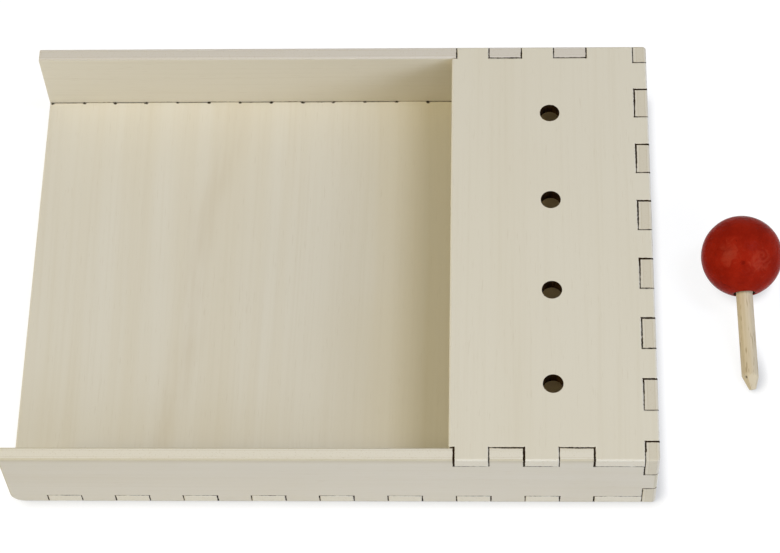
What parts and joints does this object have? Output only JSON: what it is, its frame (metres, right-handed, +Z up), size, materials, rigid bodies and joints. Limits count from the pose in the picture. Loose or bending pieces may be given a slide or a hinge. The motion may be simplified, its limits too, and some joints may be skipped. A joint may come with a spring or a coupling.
{
  "type": "jack in the box",
  "caption": "Low plywood tray with finger-jointed walls and a covered end with a row of peg holes, and a loose red ball-headed jack whose peg stands in any hole.",
  "frame": {"origin": "centre of the tray's underside, on the surface that it stands on", "axes": "+X along the tray towards its covered end, +Y to the back wall, +Z up"},
  "size_m": [0.2289, 0.142, 0.028],
  "materials": {
    "plywood": "bare sanded pale plywood with laser-browned cut edges",
    "red_paint": "satin red paint on a turned wooden ball",
    "dowel": "bare pale dowel"
  },
  "bodies": {
    "box": {"base_plate": "plywood", "front_wall": "plywood", "back_wall": "plywood", "end_wall": "plywood", "top_plate": "plywood"},
    "jack": {"jack_ball": "red_paint", "jack_peg": "dowel"}
  },
  "joints": [
    {"name": "jack_lift", "type": "slide", "parent": "box", "child": "jack", "axis": [0, 0, 1], "range_m": [0, 0.06]}
  ]
}
